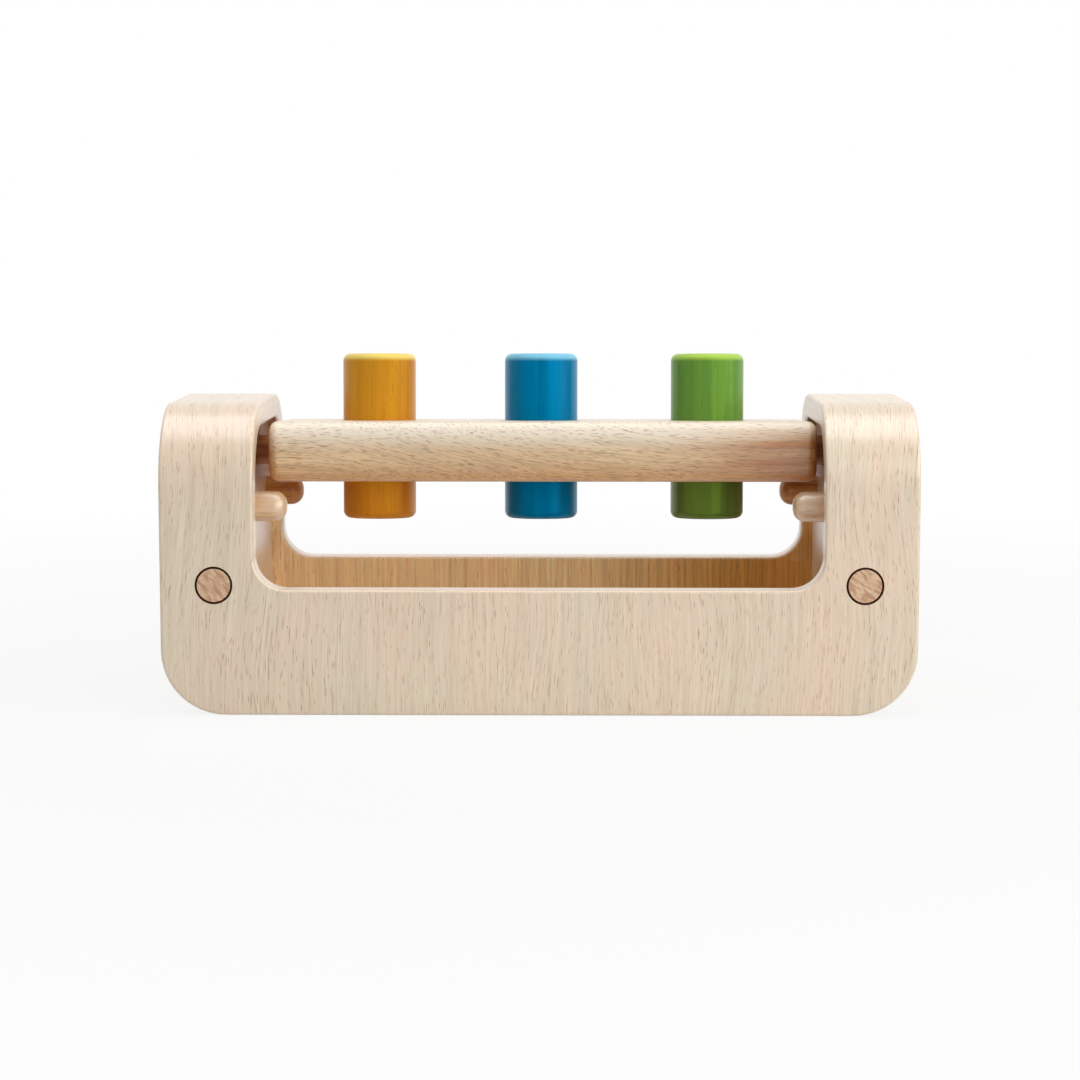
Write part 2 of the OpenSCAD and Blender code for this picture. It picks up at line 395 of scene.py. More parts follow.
def ring_tree():
    """Geometry Nodes that sweep a round section along a circle and lay the ring square to Along."""
    tree, given, made = new_tree("swept_ring", "GeometryNodeTree", [
        ("Geometry", "NodeSocketGeometry"),
        ("Ring radius", "NodeSocketFloat"),
        ("Section radius", "NodeSocketFloat"),
        ("Centre", "NodeSocketVector"),
        ("Along", "NodeSocketVector"),
        ("Material", "NodeSocketMaterial"),
    ], [("Geometry", "NodeSocketGeometry")])
    round_path = {"Resolution": RING_SIDES, "Radius": given["Ring radius"]}
    path = add(tree, "GeometryNodeCurvePrimitiveCircle", round_path)
    round_section = {"Resolution": SECTION_SIDES, "Radius": given["Section radius"]}
    section = add(tree, "GeometryNodeCurvePrimitiveCircle", round_section)
    curves = {"Curve": path.outputs[0], "Profile Curve": section.outputs[0]}
    swept = add(tree, "GeometryNodeCurveToMesh", curves).outputs[0]
    facing = add(tree, "FunctionNodeAlignRotationToVector", {"Vector": given["Along"]}, axis="Z").outputs[0]
    moves = {"Geometry": swept, "Translation": given["Centre"], "Rotation": facing}
    placed = add(tree, "GeometryNodeTransform", moves).outputs[0]
    end_tree(tree, placed, given["Material"], made)
    return tree


def in_cells(tree, place, across, along):
    """The place counted in cells of this size across and along the grain, in millimetres."""
    cells = (1 / (across * MM), 1 / (across * MM), 1 / (along * MM))
    return calc_vector(tree, "MULTIPLY", place, cells)


def wood_group():
    """Shader group: at a place in the wood, its broad figure, patches, fibres and open pores."""
    tree, given, made = new_tree("open_pored_wood", "ShaderNodeTree", [
        ("Place", "NodeSocketVector"),
        ("Sway", "NodeSocketVector"),
        ("Slant", "NodeSocketVector"),
        ("Short pores", "NodeSocketFloat"),
        ("Long pores", "NodeSocketFloat"),
    ], [(name, "NodeSocketFloat") for name in MARKS])

    def noise(place, across, along, detail, output="Fac"):
        """Noise with marks of this size across and along the grain, in millimetres."""
        inputs = {"Vector": in_cells(tree, place, across, along), "Scale": 1, "Detail": detail}
        return add(tree, "ShaderNodeTexNoise", inputs).outputs[output]

    def pores(place, across, along, radius, share):
        """Pores cut as long ovals, one to a cell of this size, of which a share is there."""
        inputs = {"Vector": in_cells(tree, place, across, along), "Scale": 1, "Randomness": 1}
        cell = add(tree, "ShaderNodeTexVoronoi", inputs)
        dark = spread(tree, cell.outputs["Distance"], radius, radius * 0.4, smooth=True)
        luck = add(tree, "ShaderNodeSeparateColor", {0: cell.outputs["Color"]}).outputs
        depth = spread(tree, luck[1], 0, 1, 0.35, 1.0)
        there = calc(tree, "LESS_THAN", luck[0], share)
        return calc(tree, "MULTIPLY", calc(tree, "MULTIPLY", dark, depth), there)

    # The grain wanders to both sides of straight, and slants more and more towards +Z
    wander = noise(given["Place"], across=55, along=85, detail=1, output="Color")
    drift = calc_vector(tree, "SUBTRACT", wander, (0.5, 0.5, 0.5))
    swayed = calc_vector(tree, "ADD", given["Place"], calc_vector(tree, "MULTIPLY", drift, given["Sway"]))
    along = add(tree, "ShaderNodeSeparateXYZ", {0: given["Place"]}).outputs["Z"]
    slanting = spread(tree, along, -110 * MM, 60 * MM, smooth=True)
    slanted = {0: given["Slant"], "Scale": slanting}
    slant = add(tree, "ShaderNodeVectorMath", slanted, operation="SCALE").outputs[0]
    place = calc_vector(tree, "ADD", swayed, slant)
    # Where the short pores crowd, the long ones are few
    zone = spread(tree, noise(place, across=14, along=40, detail=1), 0.4, 0.6, smooth=True)
    short_share = calc(tree, "MULTIPLY", spread(tree, zone, 0, 1, 0.45, 1.0), given["Short pores"])
    long_share = calc(tree, "MULTIPLY", spread(tree, zone, 0, 1, 1.0, 0.45), given["Long pores"])
    short = pores(place, across=0.38, along=4.8, radius=0.34, share=short_share)
    long = pores(place, across=0.4, along=11, radius=0.27, share=long_share)
    hair = pores(place, across=0.42, along=30, radius=0.22, share=long_share)
    figure = noise(place, across=3, along=120, detail=3)
    tree.links.new(spread(tree, figure, 0.3, 0.7), made["Figure"])
    patches = noise(place, across=26, along=60, detail=2)
    tree.links.new(spread(tree, patches, 0.34, 0.66, smooth=True), made["Patches"])
    fibres = noise(place, across=0.6, along=24, detail=2)
    tree.links.new(spread(tree, fibres, 0.3, 0.7), made["Fibres"])
    tree.links.new(calc(tree, "MAXIMUM", calc(tree, "MAXIMUM", short, long), hair), made["Pores"])
    return tree


def mixed(tree, factor, a, b, way="MIX"):
    """Two colours mixed."""
    return add(tree, "ShaderNodeMix", {0: factor, 6: a, 7: b}, data_type="RGBA", blend_type=way).outputs[2]


def srgb(red, green, blue):
    """A colour as it looks on screen, from 0 to 255, as the linear colour that a shader takes."""
    parts = [c / 255 for c in (red, green, blue)]
    return [((c + 0.055) / 1.055) ** 2.4 if c > 0.04045 else c / 12.92 for c in parts] + [1]


def surface(name, **settings):
    """A new material with one Principled shader; returns both and the shader's tree."""
    material = bpy.data.materials.new(name)
    material.use_nodes = True
    tree = material.node_tree
    shader = tree.nodes["Principled BSDF"]
    for socket, value in settings.items():
        shader.inputs[socket.replace("_", " ")].default_value = value
    return material, tree, shader


def wood(name, dark, pale, patch, pore, sway, short_pores, long_pores, slant=(0, 0, 0), fibre_depth=0.06,
         **settings):
    """Open-pored wood under lacquer, in the colours of its figure, its patches and its pores.
    Returns the material, its tree and shader, the place in the wood, the colour and the pores."""
    material, tree, shader = surface(name, **settings)
    place = add(tree, "ShaderNodeAttribute", attribute_name="grain").outputs["Vector"]
    marks = add(tree, "ShaderNodeGroup", node_tree=WOOD)
    tree.links.new(place, marks.inputs["Place"])
    grown = (("Sway", sway), ("Slant", slant), ("Short pores", short_pores), ("Long pores", long_pores))
    for socket, value in grown:
        marks.inputs[socket].default_value = value
    marks = marks.outputs
    figured = mixed(tree, marks["Figure"], dark, pale)
    patched = mixed(tree, calc(tree, "MULTIPLY", marks["Patches"], 0.7), figured, patch)
    shade = spread(tree, marks["Fibres"], 0, 1, 1 - fibre_depth, 1 + fibre_depth)
    grey = add(tree, "ShaderNodeCombineXYZ", {0: shade, 1: shade, 2: shade}).outputs[0]
    pored = mixed(tree, marks["Pores"], calc_vector(tree, "MULTIPLY", patched, grey), pore)
    tree.links.new(pored, shader.inputs["Base Color"])
    height = calc(tree, "SUBTRACT", calc(tree, "MULTIPLY", marks["Fibres"], 0.2), marks["Pores"])
    bump = add(tree, "ShaderNodeBump", {"Strength": 0.12, "Distance": 0.1 * MM, "Height": height})
    tree.links.new(bump.outputs[0], shader.inputs["Normal"])
    return material, tree, shader, place, pored, marks["Pores"]


WOOD = wood_group()
SATIN = {
    "Roughness": 0.5,
    "Specular_IOR_Level": 0.15,
    "Coat_Weight": 1.0,
    "Coat_IOR": 1.9,
    "Coat_Roughness": 0.28,
}


def plywood(dowel_at, hole_shade_to):
    """Bent plywood: pale open-pored veneer, a browner one inside with painted shade on it, glue lines where
    the sheet is cut, and hole walls darkened as painted shade, out to a distance from the dowels' middles."""
    material, tree, shader, place, colour, _ = wood(
        "plywood_veneer", srgb(225, 207, 176), srgb(240, 223, 197), srgb(242, 213, 187), srgb(174, 122, 82),
        sway=(15 * MM, 2 * MM, 0), short_pores=0.36, long_pores=0.9, fibre_depth=0.085, **SATIN)
    places = add(tree, "ShaderNodeSeparateXYZ", {0: place}).outputs
    # Depth is counted in veneers from the outer face, and each core veneer has its own tone
    face_veneer = 0.9
    depth = calc(tree, "MULTIPLY", places["Y"], -VENEERS / PLY_T)
    held = calc(tree, "MINIMUM", calc(tree, "MAXIMUM", depth, 0.0), VENEERS - 0.01)
    layer = calc(tree, "FLOOR", held)
    luck = add(tree, "ShaderNodeTexWhiteNoise", {"W": layer}, noise_dimensions="1D").outputs["Value"]
    past_face = calc(tree, "GREATER_THAN", depth, face_veneer)
    core = calc(tree, "MULTIPLY", past_face, calc(tree, "LESS_THAN", depth, VENEERS - face_veneer))
    tone = calc(tree, "MULTIPLY", core, spread(tree, luck, 0, 1, 0.0, 0.35))
    layered = mixed(tree, tone, colour, srgb(250, 238, 218))
    inside_face = spread(tree, depth, VENEERS - 0.12, VENEERS - 0.04)
    # The inner veneer: fine lines and a browner tint, darker towards the right end as painted shade, and
    # darker in the bends as painted shade
    right_shade_reach = 75 * MM
    shade_in_bend = 14 * MM
    right_end_shade = spread(tree, places["X"], 0, right_shade_reach, smooth=True)
    tint_and_right_shade = mixed(tree, right_end_shade, (1.32, 1.18, 0.84, 1), (0.98, 0.62, 0.15, 1))
    fine = {"Vector": in_cells(tree, place, 0.8, 40), "Scale": 1, "Detail": 3}
    lines = add(tree, "ShaderNodeTexNoise", fine).outputs["Fac"]
    striped = calc_vector(tree, "MULTIPLY", colour, spread(tree, lines, 0.32, 0.66, 0.77, 1.18))
    shaded_inner_veneer = mixed(tree, 1.0, striped, tint_and_right_shade, "MULTIPLY")
    # Painted shade: the inner veneer darkens under the top and in the bends
    bend_end = FLAT_HALF + BEND_R * QUARTER
    from_top = calc(tree, "ABSOLUTE", places["Z"])
    in_bend = spread(tree, from_top, bend_end, bend_end - shade_in_bend, smooth=True)
    with_bend_shade = mixed(tree, in_bend, shaded_inner_veneer, mixed(tree, 1.0, shaded_inner_veneer, (0.42, 0.34, 0.28, 1), "MULTIPLY"))
    # The part of the veneer outside the end boards stays nearly as pale as the face, without the painted
    # shade
    board_middle = (board_low.x + board_high.x) / 2
    between_boards = calc(tree, "LESS_THAN", calc(tree, "ABSOLUTE", places["X"]), board_middle)
    outside = mixed(tree, 1.0, colour, (1.0, 0.93, 0.82, 1), "MULTIPLY")
    lined = mixed(tree, inside_face, layered, mixed(tree, between_boards, outside, with_bend_shade))
    nearest = calc(tree, "ABSOLUTE", calc(tree, "SUBTRACT", depth, calc(tree, "ROUND", depth)))
    near_line = spread(tree, nearest, 0.03, 0.09, 1.0, 0.0, smooth=True)
    past_first = calc(tree, "GREATER_THAN", depth, 0.5)
    inside = calc(tree, "MULTIPLY", past_first, calc(tree, "LESS_THAN", depth, VENEERS - 0.5))
    glue_line = calc(tree, "MULTIPLY", calc(tree, "MULTIPLY", near_line, inside), 0.4)
    cut = mixed(tree, glue_line, lined, srgb(160, 122, 84))
    # Painted shade: the dowels' hole walls are coloured dark brown
    in_sheet = add(tree, "ShaderNodeCombineXYZ", {"X": places["X"], "Y": places["Z"]}).outputs[0]
    from_dowel = calc_vector(tree, "SUBTRACT", calc_vector(tree, "ABSOLUTE", in_sheet), dowel_at)
    reach = add(tree, "ShaderNodeVectorMath", {0: from_dowel}, operation="LENGTH").outputs["Value"]
    in_hole = calc(tree, "LESS_THAN", reach, hole_shade_to)
    hole_shade = calc(tree, "MULTIPLY", in_hole, calc(tree, "GREATER_THAN", depth, 0.03))
    tree.links.new(mixed(tree, hole_shade, cut, srgb(92, 50, 26)), shader.inputs["Base Color"])
    # The hole walls with painted shade have no coat
    tree.links.new(calc(tree, "SUBTRACT", 1.0, hole_shade), shader.inputs["Coat Weight"])
    return material


def board_wood():
    """End boards: straight-grained wood, dull and darkened with painted shade beside the beam's ends."""
    material, tree, shader, place, colour, _ = wood(
        "board_wood", srgb(234, 204, 176), srgb(246, 226, 200), srgb(238, 210, 184), srgb(150, 108, 76),
        sway=(2 * MM, 10 * MM, 0), short_pores=0.5, long_pores=0.5, **SATIN)
    places = add(tree, "ShaderNodeSeparateXYZ", {0: place}).outputs
    # Painted shade beside the beam's ends: a darker colour and less coat there
    shade_starts = 66 * MM
    shade_full = 74 * MM
    outer_face = board_high.x - 2 * BOARD_EASE
    inward = spread(tree, calc(tree, "ABSOLUTE", places["X"]), outer_face, outer_face - BOARD_EASE)
    painted_light_share = calc(tree, "MULTIPLY", spread(tree, places["Z"], shade_starts, shade_full, smooth=True), inward)
    dark = mixed(tree, 1.0, colour, srgb(196, 150, 120), "MULTIPLY")
    tree.links.new(mixed(tree, painted_light_share, colour, dark), shader.inputs["Base Color"])
    tree.links.new(spread(tree, painted_light_share, 0, 1, 1.0, 0.1), shader.inputs["Coat Weight"])
    return material


def beam_wood():
    """Beam: golden wood with short slanting pores, a painted highlight on top, painted shade along the
    bottom, and browner towards its right end.
    """
    material, tree, shader, place, colour, pores = wood(
        "beam_wood", srgb(208, 174, 128), srgb(228, 200, 156), srgb(218, 184, 138), srgb(142, 88, 48),
        sway=(3 * MM, 14 * MM, 0), slant=(0, 26 * MM, 0), short_pores=2.0, long_pores=0.7, fibre_depth=0.18,
        **{**SATIN, "Coat_Roughness": 0.4})
    places = add(tree, "ShaderNodeSeparateXYZ", {0: place}).outputs
    broad = {"Vector": in_cells(tree, place, 3, 60), "Scale": 1, "Detail": 4}
    streaks = add(tree, "ShaderNodeTexNoise", broad).outputs["Fac"]
    # A painted highlight on top, stronger on the long rounded edges than in the middle of the top
    painted_light_share = spread(tree, calc(tree, "ABSOLUTE", places["X"]), 21 * MM, 26 * MM, 0.5, 0.75)
    top_highlight = calc(tree, "MULTIPLY", spread(tree, places["Y"], 0, 6 * MM), painted_light_share)
    highlighted = mixed(tree, top_highlight, colour, srgb(250, 240, 222))
    # Painted shade along the bottom
    lower_shade = spread(tree, places["Y"], 1 * MM, -11 * MM, smooth=True)
    with_low_shade = mixed(tree, lower_shade, highlighted, mixed(tree, 1.0, highlighted, srgb(249, 220, 182), "MULTIPLY"))
    # The heart of the log shows as brown streaks low on the right end
    heart_starts = 35 * MM
    heart_full = 80 * MM
    to_right = spread(tree, places["Z"], heart_starts, heart_full, smooth=True)
    to_bottom = spread(tree, places["Y"], 10 * MM, 2 * MM, 0.1, 1.0, smooth=True)
    in_heart = calc(tree, "MULTIPLY", to_right, to_bottom)
    heart = calc(tree, "MULTIPLY", in_heart, spread(tree, streaks, 0.4, 0.6, 0.6, 1.0))
    browned = mixed(tree, heart, with_low_shade, mixed(tree, 1.0, with_low_shade, srgb(196, 140, 56), "MULTIPLY"))
    pored = mixed(tree, pores, browned, srgb(142, 84, 42))
    tree.links.new(pored, shader.inputs["Base Color"])
    return material


def dowel_wood(name, dark, pale, patch, blotched, **settings):
    """Dowels, stop pins and axles: smooth turned wood, blotched end grain on their ends."""
    material, tree, shader, place, colour, _ = wood(
        name, dark, pale, patch, srgb(140, 96, 62), sway=(3 * MM, 3 * MM, 0), short_pores=0.4, long_pores=0.3,
        **{**SATIN, **settings})
    # Blotches drawn out on the slant, which is how the rays of the log cross a dowel's end
    crossed = calc_vector(tree, "ADD", calc_vector(tree, "MULTIPLY", place, (1, -1, 0)),
                          calc_vector(tree, "MULTIPLY", swapped(tree, place), (1, 1, 0)))
    sized = calc_vector(tree, "MULTIPLY", crossed, (1 / (2 * MM), 1 / (7 * MM), 0))
    torn = {"Vector": sized, "Scale": 1, "Detail": 3, "Distortion": 0.8}
    blotch = add(tree, "ShaderNodeTexNoise", torn).outputs["Fac"]
    shade = calc(tree, "MULTIPLY", spread(tree, blotch, 0.42, 0.6), blotched)
    tree.links.new(mixed(tree, shade, colour, srgb(196, 146, 108), "MULTIPLY"), shader.inputs["Base Color"])
    return material


def swapped(tree, place):
    """The place with its first two numbers changed over."""
    places = add(tree, "ShaderNodeSeparateXYZ", {0: place}).outputs
    changed = {"X": places["Y"], "Y": places["X"], "Z": places["Z"]}
    return add(tree, "ShaderNodeCombineXYZ", changed).outputs[0]


def stained_wood(name, dark, pale, rim_highlight, low_shade_tint, glint):
    """Peg: water stain that the fibres take unevenly, a painted highlight at the upper rim, painted shade at
    the lower end, with highlights in the colour of its gloss lacquer."""
    pore = mix_of(dark, [0, 0, 0, 1])
    material, tree, shader, place, colour, _ = wood(
        name, dark, pale, mix_of(dark, pale), pore, sway=(3 * MM, 3 * MM, 0),
        short_pores=0.12, long_pores=0.3, fibre_depth=0.07,
        Roughness=0.3, IOR=1.35, Specular_IOR_Level=1.0, Specular_Tint=glint)
    along = add(tree, "ShaderNodeSeparateXYZ", {0: place}).outputs["Z"]
    low_shade_starts = 30 * MM
    low_shade_full = 16 * MM
    rim_highlight_starts = PEG_L - 1.15 * PEG_RIM_R
    rim_highlight_full = PEG_L - 0.45 * PEG_RIM_R
    # Painted shade at the lower end, below the beam
    lower = spread(tree, along, low_shade_starts, low_shade_full, smooth=True)
    with_low_shade = mixed(tree, lower, colour, mixed(tree, 1.0, colour, low_shade_tint, "MULTIPLY"))
    # Painted highlight on the upper rim
    rim_highlight_share = calc(tree, "MULTIPLY", spread(tree, along, rim_highlight_starts, rim_highlight_full, smooth=True), 0.95)
    tree.links.new(mixed(tree, rim_highlight_share, with_low_shade, rim_highlight), shader.inputs["Base Color"])
    return material


def mix_of(a, b):
    """The colour half way between two colours."""
    return [(p + q) / 2 for p, q in zip(a, b)]


def ring_rubber():
    """Grip rings: matt black rubber with a fine moulded grain."""
    material, tree, shader = surface("ring_rubber", Roughness=0.7)
    place = add(tree, "ShaderNodeTexCoord").outputs["Object"]
    grain = add(tree, "ShaderNodeTexNoise", {"Vector": place, "Scale": 4000, "Detail": 2}).outputs["Fac"]
    tree.links.new(mixed(tree, grain, srgb(30, 30, 30), srgb(48, 47, 45)), shader.inputs["Base Color"])
    bump = add(tree, "ShaderNodeBump", {"Strength": 0.3, "Distance": 0.02 * MM, "Height": grain})
    tree.links.new(bump.outputs[0], shader.inputs["Normal"])
    return material


def piece(name, mesh, node, material):
    """Puts a finished mesh in the scene for a node, on the node's body and in its material slot."""
    mesh.materials.clear()
    mesh.materials.append(material)
    mesh.shade_smooth()
    thing = in_scene(name, mesh)
    thing.modifiers.new("flat_faces", "WEIGHTED_NORMAL").keep_sharp = True
    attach(thing, BODY_OF[node])
    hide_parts(node)


def flat_blank():
    """The plywood sheet before it is bent: x across it, y along it, z = 0 its outer face."""
    sheet_corner = (HALF_W, SHEET_HALF)
    cut_corner = (CUT_HALF, SHEET_HALF - CUT_FLOOR)
    shape = bmesh.new()
    edge = eased_edge(PLY_ARRIS_R, PLY_T)
    add_rings(shape, [level_with(centred(sheet_corner, FOOT_R, -inset), -down) for inset, down in edge])
    add_rings(shape, [level_with(centred(cut_corner, CUT_R, inset), -down) for inset, down in edge])
    # Each dowel's hole has an eased mouth, the groove, and then a wall that grips the dowel
    tight = GLUE_GAP - DOWEL_GAP
    groove = [(0, GROOVE_DEPTH - GROOVE_EASE), (-GROOVE_EASE, GROOVE_DEPTH), (tight, GROOVE_DEPTH)]
    hole_edge = [*eased_edge(DOWEL_EASE, PLY_T)[:ARRIS_STEPS + 1], *groove, (tight, PLY_T)]
    for centre in [(side * DOWEL_X, end * DOWEL_ALONG) for side in (-1, 1) for end in (-1, 1)]:
        rings = [level_with(circle(DOWEL_HOLE_R, centre, inset), -down) for inset, down in hole_edge]
        add_rings(shape, rings)
    bmesh.ops.remove_doubles(shape, verts=shape.verts[:], dist=SAME_POINT)
    for level in (0, -PLY_T):
        rim = [e for e in shape.edges if e.is_boundary and abs(e.verts[0].co.z - level) < SAME_POINT]
        bmesh.ops.triangle_fill(shape, use_beauty=True, edges=rim)
    for step in range(BEND_STEPS + 1):
        for side in (-1, 1):
            y = side * (FLAT_HALF + BEND_R * QUARTER * step / BEND_STEPS)
            everything = shape.verts[:] + shape.edges[:] + shape.faces[:]
            bmesh.ops.bisect_plane(
                shape, geom=everything, dist=SAME_POINT, plane_co=(0, y, 0), plane_no=(0, 1, 0))
    return mesh_of(shape, "flat_blank")


def make_plywood():
    """The plywood sheet, cut out flat and then bent over the block."""
    finish = plywood((DOWEL_X, DOWEL_ALONG, 0), DOWEL_HOLE_R + DOWEL_EASE)
    sizes = {"Flat half": FLAT_HALF, "Bend radius": BEND_R, "Height": HEIGHT, "Material": finish}
    mesh = shaped_by(bend_tree(), "plywood_arch", flat_blank(), sizes)
    piece("plywood_arch", mesh, "bent_ply_frame", finish)


def end_board_mesh(hand, side):
    """An end board, less its axle slot and the holes of its pins and dowels."""
    low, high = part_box(f"{hand}_end_board")
    inner_r = BEND_R - PLY_T
    shape = bmesh.new()
    radii = [BOARD_EASE, BOARD_EASE, inner_r, inner_r]
    layers = [(low.x + down, outline((low.y, low.z), (high.y, high.z), radii, -inset))
              for inset, down in eased_edge(BOARD_EASE, high.x - low.x)]
    add_stack(shape, layers, ALONG_X)
    body = mesh_of(shape, "end_board")
    cutters = bmesh.new()
    face_x = low.x if side > 0 else high.x
    slot_r = axle_radius() + SLOT_GAP
    slot_low = (-slot_r, AXLE_Z - slot_r)
    slot_high = (slot_r, HEIGHT)
    slot_radii = [slot_r, slot_r, 0, 0]
    slot_depths = [(SLOT_DEPTH, 0), (BOARD_EASE, 0), (0, BOARD_EASE), (-PAST, BOARD_EASE)]
    layers = [(face_x + side * depth, outline(slot_low, slot_high, slot_radii, grow))
              for depth, grow in slot_depths]
    add_stack(cutters, layers, ALONG_X)
    for end in ("front", "back"):
        start, _, radius = bar_in_box(f"{end}_{hand}_stop_pin", Vector((side, 0, 0)))
        hole = circle(radius + GLUE_GAP)
        near, far = sorted((-side * PAST, side * PIN_HOLE_DEPTH))
        place = Matrix.Translation((face_x, start.y, start.z)) @ ALONG_X
        add_stack(cutters, [(near, hole), (far, hole)], place)
        start, length, radius = bar_in_box(f"{end}_{hand}_dowel", Vector((0, 1, 0)))
        hole = circle(radius + GLUE_GAP)
        place = Matrix.Translation(start) @ ALONG_Y
        add_stack(cutters, [(-GLUE_GAP, hole), (length + GLUE_GAP, hole)], place)
    mesh = cut_away(body, mesh_of(cutters, "board_cutters"))
    note_grain(mesh, 0, 1, 2)
    return mesh


def bar_in_box(node, along):
    """Start, length and radius of the round bar that fills a node's box, along one of the frame's axes."""
    low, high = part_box(node)
    span = high - low
    length = abs(span.dot(along))
    radius = (span.x + span.y + span.z - length) / 4
    return (low + high) / 2 - along * length / 2, length, radius


def axle_radius():
    """Radius of the axle dowels."""
    return bar_in_box("left_axle", Vector((1, 0, 0)))[2]


def peg_place(node):
    """Where a peg's middle is along the beam, and the peg's radius."""
    low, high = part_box(node)
    return (low.x + high.x) / 2 - BEAM_SHIFT, (high.x - low.x) / 2


def beam_section(inset):
    """The beam's outline across its length, drawn in by an inset: elliptic corners between flat sides."""
    reach_y = BEAM_EDGE_R - inset
    reach_z = BEAM_EDGE_RISE - inset
    points = []
    for turn, (side_y, side_z) in enumerate(((-1, -1), (1, -1), (1, 1), (-1, 1))):
        centre_y = side_y * (BEAM_HALF_W - BEAM_EDGE_R)
        centre_z = side_z * (BEAM_HALF_T - BEAM_EDGE_RISE)
        for step in range(CORNER_STEPS + 1):
            angle = QUARTER * (turn + 2 + step / CORNER_STEPS)
            points.append((centre_y + reach_y * math.cos(angle), centre_z + reach_z * math.sin(angle)))
    return points


def beam_mesh():
    """The beam, less its three peg holes with their ring grooves and its two axle bores."""
    shape = bmesh.new()
    layers = [(down - BEAM_HALF_L, beam_section(inset))
              for inset, down in eased_edge(BEAM_END_R, 2 * BEAM_HALF_L)]
    add_stack(shape, layers, ALONG_X)
    body = mesh_of(shape, "beam")
    cutters = bmesh.new()
    for colour in PEG_COLOURS:
        x, radius = peg_place(f"{colour}_peg")
        hole_r = radius + PEG_GAP
        groove_r = radius + 2 * RING_GAP + RING_T
        groove_half = RING_T / 2 + RING_GAP
        # From the ring's groove up to the hole's eased mouth; the other half mirrors it
        half = [(groove_half, groove_r), (groove_half, hole_r), (BEAM_HALF_T - HOLE_EASE, hole_r)]
        half += [(BEAM_HALF_T - HOLE_EASE * (1 - math.sin(a)), hole_r + HOLE_EASE * (1 - math.cos(a)))
                 for a in (QUARTER / 3, QUARTER * 2 / 3, QUARTER)]
        half.append((BEAM_HALF_T + PAST, hole_r + HOLE_EASE))
        profile = [(-z, r) for z, r in reversed(half)] + half
        add_stack(cutters, [(z, circle(r)) for z, r in profile], Matrix.Translation((x, 0, 0)))
    bore_r = axle_radius() + BORE_GAP
    for side in (-1, 1):
        depths = [(-PAST, HOLE_EASE), (0, HOLE_EASE), (HOLE_EASE, 0), (BORE_DEPTH, 0)]
        layers = [(side * (BEAM_HALF_L - depth), circle(bore_r + flare)) for depth, flare in depths]
        add_stack(cutters, layers, ALONG_X)
    mesh = cut_away(body, mesh_of(cutters, "beam_cutters"))
    note_grain(mesh, 1, 2, 0)
    mesh.transform(BEAM_PLACE)
    return mesh


def turned_piece(tree, name, node, finish, sizes):
    """Puts a turned bar in the scene, with the sizes and places that the tree of turned_tree takes."""
    values = {**sizes, "Rim steps": RIM_STEPS, "Sides": BAR_SIDES, "Material": finish}
    mesh = shaped_by(tree, name, bpy.data.meshes.new(name), values)
    piece(name, mesh, node, finish)


def boxed_bar(tree, name, node, finish, along, rims, log_place):
    """Puts a turned bar in the scene that fills its node's box along one of the frame's axes.
    Each bar has a log place of its own, so that no two have the same grain."""
    start, length, radius = bar_in_box(node, along)
    turned_piece(tree, name, node, finish, {
        "Radius": radius,
        "Length": length,
        "Near rim": rims[0],
        "Far rim": rims[1],
        "Start": start,
        "Along": along,
        "Log place": log_place,
    })


def make_boards_and_beam():
    """The two end boards and the beam between them."""
    boards = board_wood()
    for hand, side in HANDS:
        piece(f"{hand}_board", end_board_mesh(hand, side), f"{hand}_end_board", boards)
    piece("beam", beam_mesh(), "peg_beam", beam_wood())


def make_dowels_pins_and_axles(turned):
    """The four wall dowels, the four stop pins, the back ones darker as painted shade, and the two axles,
    darker as painted shade.
    """
    pin_wood = dowel_wood("pin_wood", srgb(226, 192, 150), srgb(240, 213, 174), srgb(230, 196, 154), 0.3,
                          Coat_IOR=2.2, Coat_Roughness=0.32)
    wall_wood = dowel_wood("dowel_wood", srgb(216, 176, 133), srgb(238, 203, 163), srgb(222, 183, 140), 0.75)
    # The back pins and the axles are darker copies of the pin wood, as painted shade
    shaded_pin_wood = dowel_wood("shaded_dowel_wood", srgb(208, 140, 62), srgb(228, 166, 88), srgb(214, 146, 70),
                            0.4, Coat_Weight=0.4)
    shaded_axle_wood = dowel_wood("shaded_axle_wood", srgb(176, 108, 60), srgb(200, 132, 82), srgb(186, 114, 66),
                           0.4, Coat_Weight=0.4)
    log = 0
    for hand, side in HANDS:
        for end, face in (("front", -1), ("back", 1)):
            log += 1
            boxed_bar(turned, f"{end}_{hand}_wall_dowel", f"{end}_{hand}_dowel", wall_wood,
                      Vector((0, face, 0)), (BAR_EASE, DOWEL_EASE), (0.11 * log, 0.2, 0))
            finish = pin_wood if face < 0 else shaded_pin_wood
            boxed_bar(turned, f"{end}_{hand}_pin", f"{end}_{hand}_stop_pin", finish,
                      Vector((-side, 0, 0)), (BAR_EASE, PIN_NOSE), (0.13 * log, 0.5, 0))
        boxed_bar(turned, f"{hand}_axle_dowel", f"{hand}_axle", shaded_axle_wood,
                  Vector((side, 0, 0)), (BAR_EASE, BAR_EASE), (0.17 * log, 0.8, 0))


